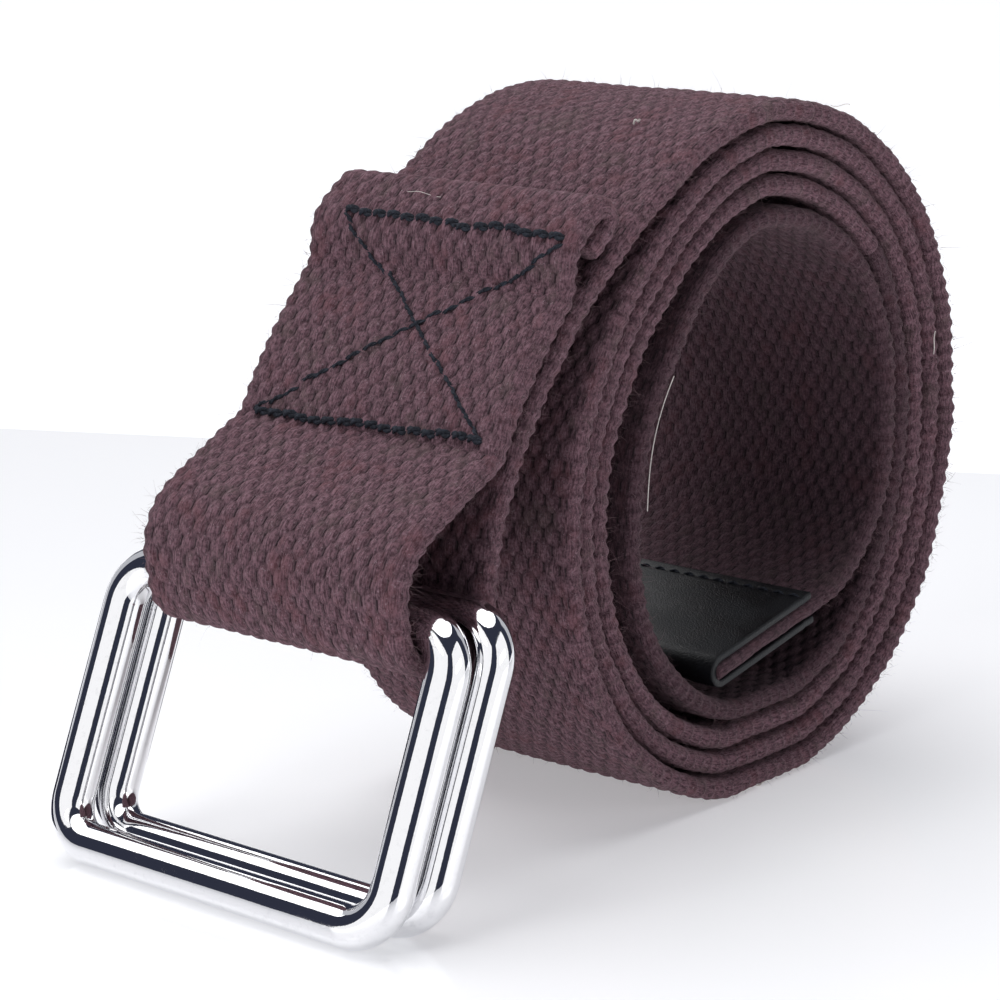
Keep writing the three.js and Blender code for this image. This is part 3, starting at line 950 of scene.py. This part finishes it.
def ring_piece(settings, name, bar):
    """A rounded rectangle of wire that hangs from its own top bar."""
    width = RING_HIGH.x - RING_LOW.x - WIRE
    height = RING_HEIGHT - WIRE
    lean = math.acos((bar.z - WIRE / 2) / height)
    down = Vector((0, -math.sin(lean), -math.cos(lean)))
    bpy.ops.mesh.primitive_plane_add(size=1)
    obj = bpy.context.object
    obj.scale = (width, height, 1)
    settle(obj)
    bpy.ops.object.mode_set(mode="EDIT")
    bpy.ops.mesh.select_all(action="SELECT")
    bpy.ops.mesh.bevel(offset=CORNER_RADIUS, offset_type="OFFSET", segments=14, affect="VERTICES")
    bpy.ops.mesh.select_all(action="SELECT")
    bpy.ops.mesh.delete(type="ONLY_FACE")
    bpy.ops.object.mode_set(mode="OBJECT")
    obj.location = bar + down * height / 2
    obj.rotation_euler = (math.pi / 2 - lean, 0, 0)
    settle(obj)
    bpy.ops.object.convert(target="CURVE")
    obj = bpy.context.object
    obj.data.bevel_depth = WIRE / 2
    obj.data.bevel_resolution = 14
    bpy.ops.object.convert(target="MESH")
    obj = bpy.context.object
    material = material_of("Polished nickel", metal_material, settings)
    finish_piece(obj, name + "_wire", name, material)
    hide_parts(name)
    return obj


class BELT_OT_rings(bpy.types.Operator):
    """Bends the two wire rings"""
    bl_idname = "belt.rings"
    bl_label = "Rings"

    def execute(self, context):
        settings = context.scene.belt_rings
        ring_piece(settings, "front_ring", FRONT_BAR)
        ring_piece(settings, "rear_ring", REAR_BAR)
        return {"FINISHED"}


# Leather tip

def tip_matrix():
    """Place of the webbing's inner end: X back along it, Y across it and Z out of its upper face."""
    return LINE.pose(0.0, 0.0, 0.0)


class BELT_OT_leather(bpy.types.Operator):
    """Folds the leather round the inner end and sews it"""
    bl_idname = "belt.leather"
    bl_label = "Leather tip"

    def execute(self, context):
        settings = context.scene.belt_leather
        middle = PRESSED / 2 + LEATHER_SEAT + LEATHER / 2
        centre = PRESSED / 2
        arm = LEATHER_LENGTH - centre
        bend = math.pi * middle
        bpy.ops.mesh.primitive_grid_add(x_subdivisions=120, y_subdivisions=60, size=1)
        obj = bpy.context.object
        obj.scale = (2 * arm + bend, STRAP_WIDTH - 0.0006, 1)
        settle(obj)
        flat = coordinates(obj)
        way, side = flat[:, 0], np.sign(flat[:, 0])
        angle = np.clip(way / middle, -math.pi / 2, math.pi / 2)
        straight = np.clip(np.abs(way) - bend / 2, 0, None)
        open_edge = arm - straight
        crease = -0.00014 * np.exp(-((open_edge - 0.0017) / 0.00022) ** 2)
        radius = middle + crease
        folded = np.stack([
            centre - radius * np.cos(angle) * (straight == 0) + straight,
            flat[:, 1],
            radius * np.sin(angle),
        ], 1)
        set_coordinates(obj, folded)
        activate(obj)
        solid = obj.modifiers.new("Thickness", "SOLIDIFY")
        solid.thickness = LEATHER
        solid.offset = 0
        rounded = obj.modifiers.new("Rounded edges", "BEVEL")
        rounded.width = 0.00026
        rounded.segments = 3
        rounded.limit_method = "ANGLE"
        rounded.angle_limit = math.radians(50)
        apply_modifiers(obj)
        obj.data.transform(tip_matrix())
        material = material_of("Black leather", leather_material, settings)
        finish_piece(obj, "leather_cap", "belt", material)
        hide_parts("leather_tip")

        stitches = context.scene.belt_stitching
        master = stitch_master(stitches.cross, stitches.stitch * 0.8)
        face = PRESSED / 2 + LEATHER_SEAT + LEATHER - 0.0002
        row = []
        for turn in (Matrix.Identity(4), Matrix.Rotation(math.pi, 4, "X")):
            for across in np.arange(-0.0172, 0.0173, stitches.stitch * 0.86):
                place = Matrix.Translation((LEATHER_LENGTH - 0.0017, across, face))
                row.append(tip_matrix() @ turn @ place @ Matrix.Rotation(math.pi / 2, 4, "Z"))
        obj = joined_copies(master, row, "leather_stitches")
        thread = material_of("Black thread", thread_material, stitches)
        finish_piece(obj, "leather_stitches", "belt", thread)
        return {"FINISHED"}


# Fuzz

def fibre_strips(starts, directions, sideways, lengths, bend, width):
    """Thin curved strips, one for each loose fibre."""
    rows = 4
    t = np.linspace(0, 1, rows)
    count = len(starts)
    middle = (starts[:, None] + directions[:, None] * (lengths[:, None, None] * t[None, :, None])
              + bend[:, None] * (lengths[:, None, None] * (t ** 2)[None, :, None]))
    half = sideways[:, None] * (width * (1 - 0.75 * t))[None, :, None]
    points = np.stack([middle - half, middle + half], 2).reshape(-1, 3)
    base = np.arange(count)[:, None] * rows * 2 + np.arange(rows - 1)[None] * 2
    faces = np.stack([base, base + 1, base + 3, base + 2], 2).reshape(-1, 4)
    return points, faces


class BELT_OT_fuzz(bpy.types.Operator):
    """Raises loose fibres from the webbing's faces and selvedges"""
    bl_idname = "belt.fuzz"
    bl_label = "Fuzz"

    def execute(self, context):
        settings = context.scene.belt_webbing
        random = np.random.default_rng(7)
        count = 30000
        run = random.uniform(LEATHER_LENGTH + 0.002, LINE.length - 0.004, count)
        on_edge = random.random(count) < 0.62
        side = random.choice([-1, 1], count)
        across = np.where(on_edge, side * STRAP_WIDTH / 2, random.uniform(-1, 1, count) * STRAP_WIDTH / 2)
        up = np.where(on_edge, random.uniform(-0.8, 0.8, count), side) * STRAP_THICKNESS / 2
        starts = LINE.place(run, across * 0.995, up * 0.93)
        outward = LINE.place(run, across * np.where(on_edge, 1.01, 1), up * np.where(on_edge, 1, 1.2)) - starts
        outward /= np.linalg.norm(outward, axis=1)[:, None]
        scatter = random.normal(0, 0.55, (count, 3))
        directions = outward + scatter
        directions /= np.linalg.norm(directions, axis=1)[:, None]
        bend = random.normal(0, 0.45, (count, 3))
        sideways = np.cross(directions, random.normal(0, 1, (count, 3)))
        sideways /= np.linalg.norm(sideways, axis=1)[:, None]
        lengths = settings.fuzz * random.gamma(2.2, 0.3, count)
        points, faces = fibre_strips(starts, directions, sideways, lengths, bend, 0.00002)
        points[:, 2] = np.maximum(points[:, 2], 0.0001)
        mesh = bpy.data.meshes.new("webbing_fuzz")
        mesh.from_pydata(points.tolist(), [], faces.tolist())
        obj = bpy.data.objects.new("webbing_fuzz", mesh)
        context.scene.collection.objects.link(obj)
        material = material_of("Loose canvas fibre", loose_fibre_material, settings)
        finish_piece(obj, "webbing_fuzz", "belt", material)
        return {"FINISHED"}


# Lint

# Stray fibres: where each starts and ends as run, across and height on the webbing, and its thickness
LINT = [
    ((0.1185, 0.0192, 0.0006), (0.1345, 0.0191, 0.0012), 0.00007),
    ((0.6545, 0.0193, 0.0002), (0.6515, 0.0191, 0.0012), 0.00007),
    ((0.9335, 0.0187, -0.0014), (0.931, 0.0196, -0.0016), 0.00005),
    ((0.9555, 0.0072, -0.0014), (0.955, 0.0078, -0.0017), 0.00012),
    ((0.8175, 0.0182, -0.0012), (0.8185, 0.0187, -0.0009), 0.00009),
    ((1.0885, -0.008, 0.0014), (1.0882, -0.002, 0.0014), 0.00003),
]


class BELT_OT_lint(bpy.types.Operator):
    """Drops a few pale stray fibres on the webbing"""
    bl_idname = "belt.lint"
    bl_label = "Lint"

    def execute(self, context):
        settings = context.scene.belt_webbing
        random = np.random.default_rng(11)
        data = bpy.data.curves.new("webbing_lint", "CURVE")
        data.dimensions = "3D"
        data.bevel_depth = 1.0
        data.bevel_resolution = 1
        t = np.linspace(0, 1, 16)[:, None]
        for start, end, thickness in LINT:
            wave = np.sin(t * random.uniform(4, 9) + random.uniform(0, 6)) * random.uniform(0.0001, 0.0003)
            run, across, up = (np.array(start) * (1 - t) + np.array(end) * t).T
            spline = data.splines.new("POLY")
            spline.points.add(len(t) - 1)
            for point, place in zip(spline.points, LINE.place(run, across, up + wave[:, 0])):
                point.co = (*place, 1)
                point.radius = thickness
        obj = bpy.data.objects.new("webbing_lint", data)
        context.scene.collection.objects.link(obj)
        activate(obj)
        bpy.ops.object.convert(target="MESH")
        material, n, shader = new_material("Pale lint")
        n.feed(shader, {"Base Color": tuple(settings.lint), "Roughness": 0.8})
        finish_piece(context.object, "webbing_lint", "belt", material)
        return {"FINISHED"}


# Stage

CAMERA_PLACE = Vector((0.21589, -0.26621, 0.11603))
CAMERA_AZIMUTH = 39.85
CAMERA_ELEVATION = 13.35
CAMERA_LENS = 108.0
STAGE_MIDDLE = (0, 0, 0.04)
CARD_DISTANCE = 0.7


def aimed(place, target):
    return (Vector(target) - Vector(place)).to_track_quat("-Z", "Y").to_euler()


def add_light(name, kind, place, strength):
    data = bpy.data.lights.new(name, kind)
    data.energy = strength
    light = bpy.data.objects.new(name, data)
    bpy.context.scene.collection.objects.link(light)
    light.location = place
    light.rotation_euler = aimed(place, STAGE_MIDDLE)
    return data


def add_card(name, low, high, top, colour):
    """An upright card that only gloss sees, between two angles to the camera's right."""
    middle = math.radians((low + high) / 2 + CAMERA_AZIMUTH)
    place = (-CARD_DISTANCE * math.sin(-middle), -CARD_DISTANCE * math.cos(middle), top / 2)
    width = 2 * CARD_DISTANCE * math.tan(math.radians((high - low) / 2))
    bpy.ops.mesh.primitive_plane_add(size=1, location=place, rotation=(-math.pi / 2, 0, middle))
    card = bpy.context.object
    card.name = name
    card.scale = (width, top, 1)
    finish_card(card, colour)


def finish_card(card, colour):
    """Lets only gloss see the front of a card."""
    material, n, shader = new_material(card.name)
    glow = n.feed(n.add("ShaderNodeEmission"), {"Color": colour, "Strength": 1.0})
    front = n.feed(n.add("ShaderNodeMixShader"), {
        0: n.add("ShaderNodeNewGeometry").outputs["Backfacing"], 1: glow.outputs[0],
        2: n.add("ShaderNodeBsdfTransparent").outputs[0]})
    n.link(front.outputs[0], material.node_tree.nodes["Material Output"].inputs["Surface"])
    card.data.materials.append(material)
    card.visible_camera = False
    card.visible_diffuse = False
    card.visible_shadow = False


def add_floor_card(name, place, size, colour):
    """A card that lies on the floor beside the rings, where only they see it."""
    bpy.ops.mesh.primitive_plane_add(size=1, location=place)
    card = bpy.context.object
    card.name = name
    card.scale = (*size, 1)
    finish_card(card, colour)


def add_ground(name, colour, glow, roughness, height, far_edge):
    """A round ground, cut off behind the belt where a far edge is given."""
    bpy.ops.mesh.primitive_circle_add(vertices=96, radius=4.0, fill_type="NGON", location=(0, 0, height))
    ground = bpy.context.object
    ground.name = name
    if far_edge:
        bpy.ops.object.mode_set(mode="EDIT")
        bpy.ops.mesh.select_all(action="SELECT")
        turn = math.radians(CAMERA_AZIMUTH + far_edge[1])
        away = (-math.sin(turn), math.cos(turn), 0)
        place = Vector((CAMERA_PLACE.x, CAMERA_PLACE.y, 0)) + Vector(away) * far_edge[0]
        bpy.ops.mesh.bisect(plane_co=place, plane_no=away, clear_outer=True)
        bpy.ops.object.mode_set(mode="OBJECT")
    material, n, shader = new_material(name)
    n.feed(shader, {"Base Color": colour, "Roughness": roughness, "Emission Color": (0.97, 0.98, 1.0, 1),
                    "Emission Strength": glow})
    ground.data.materials.append(material)


class BELT_OT_stage(bpy.types.Operator):
    """Sets the pale floor, the soft lights and the camera"""
    bl_idname = "belt.stage"
    bl_label = "Stage"

    def execute(self, context):
        settings = context.scene.belt_stage
        deselect_all()
        add_ground("Ground", tuple(settings.floor), settings.glow * 0.8, 0.8, -0.001, None)
        add_ground("White sheet", tuple(settings.floor), settings.glow, 0.14, -0.00002, (0.5155, -12.0))

        world = context.scene.world or bpy.data.worlds.new("Studio")
        context.scene.world = world
        world.use_nodes = True
        background = world.node_tree.nodes["Background"]
        background.inputs["Color"].default_value = (0.55, 0.62, 1.0, 1)
        background.inputs["Strength"].default_value = settings.ambient
        context.scene.view_settings.view_transform = "Standard"

        sky = add_light("sky", "SUN", (-0.35, 0.15, 1.0), settings.sky)
        sky.angle = math.radians(80)
        for name, place, size, strength in [
            ("front left", (-0.1, -0.75, 0.5), (0.4, 0.4), settings.front),
            ("right", (0.7, 0.1, 0.2), (0.4, 0.35), settings.right),
        ]:
            light = add_light(name, "AREA", place, strength)
            light.shape = "RECTANGLE"
            light.size, light.size_y = size
        white, pale, dark = (1.15, 1.15, 1.16, 1), (0.55, 0.56, 0.6, 1), (0.02, 0.02, 0.035, 1)
        add_card("white card left", -76, -2, 0.9, white)
        add_card("white card right", 26, 92, 0.9, white)
        add_card("pale card behind left", -150, -114, 0.6, pale)
        add_card("pale card behind right", 118, 150, 0.6, pale)
        add_floor_card("dark card on the floor", (-0.115, 0.005, 0.0008), (0.16, 0.13), dark)

        data = bpy.data.cameras.new("camera")
        camera = bpy.data.objects.new("camera", data)
        context.scene.collection.objects.link(camera)
        data.lens = CAMERA_LENS
        data.sensor_width = 36.0
        data.clip_start = 0.01
        camera.location = CAMERA_PLACE
        camera.rotation_euler = (math.radians(90 - CAMERA_ELEVATION), 0, math.radians(CAMERA_AZIMUTH))
        context.scene.camera = camera
        return {"FINISHED"}


class BELT_PT_panel(bpy.types.Panel):
    """Lists the belt's pieces and settings"""
    bl_idname = "BELT_PT_panel"
    bl_label = "Canvas belt"
    bl_space_type = "VIEW_3D"
    bl_region_type = "UI"
    bl_category = "Belt"

    def draw(self, context):
        for operator, group in STEPS:
            box = self.layout.box()
            box.operator(operator)
            settings = getattr(context.scene, group)
            for key in settings.__annotations__:
                box.prop(settings, key)


STEPS = [
    ("belt.webbing", "belt_webbing"),
    ("belt.stitching", "belt_stitching"),
    ("belt.rings", "belt_rings"),
    ("belt.leather", "belt_leather"),
    ("belt.fuzz", "belt_webbing"),
    ("belt.lint", "belt_webbing"),
    ("belt.stage", "belt_stage"),
]
SETTINGS = {
    "belt_webbing": WebbingSettings,
    "belt_stitching": StitchSettings,
    "belt_rings": RingSettings,
    "belt_leather": LeatherSettings,
    "belt_stage": StageSettings,
}
CLASSES = [
    *SETTINGS.values(), BELT_OT_webbing, BELT_OT_stitching, BELT_OT_rings, BELT_OT_leather,
    BELT_OT_fuzz, BELT_OT_lint, BELT_OT_stage, BELT_PT_panel,
]


def register():
    for cls in CLASSES:
        bpy.utils.register_class(cls)
    for name, cls in SETTINGS.items():
        setattr(bpy.types.Scene, name, bpy.props.PointerProperty(type=cls))


def unregister():
    for name in SETTINGS:
        delattr(bpy.types.Scene, name)
    for cls in reversed(CLASSES):
        bpy.utils.unregister_class(cls)


def main():
    register()
    for group in (weave_group, fibre_group, grain_group, polish_group):
        group()
    for operator, _ in STEPS:
        name = operator.split(".")[1]
        getattr(bpy.ops.belt, name)()


if __name__ == "__main__":
    main()
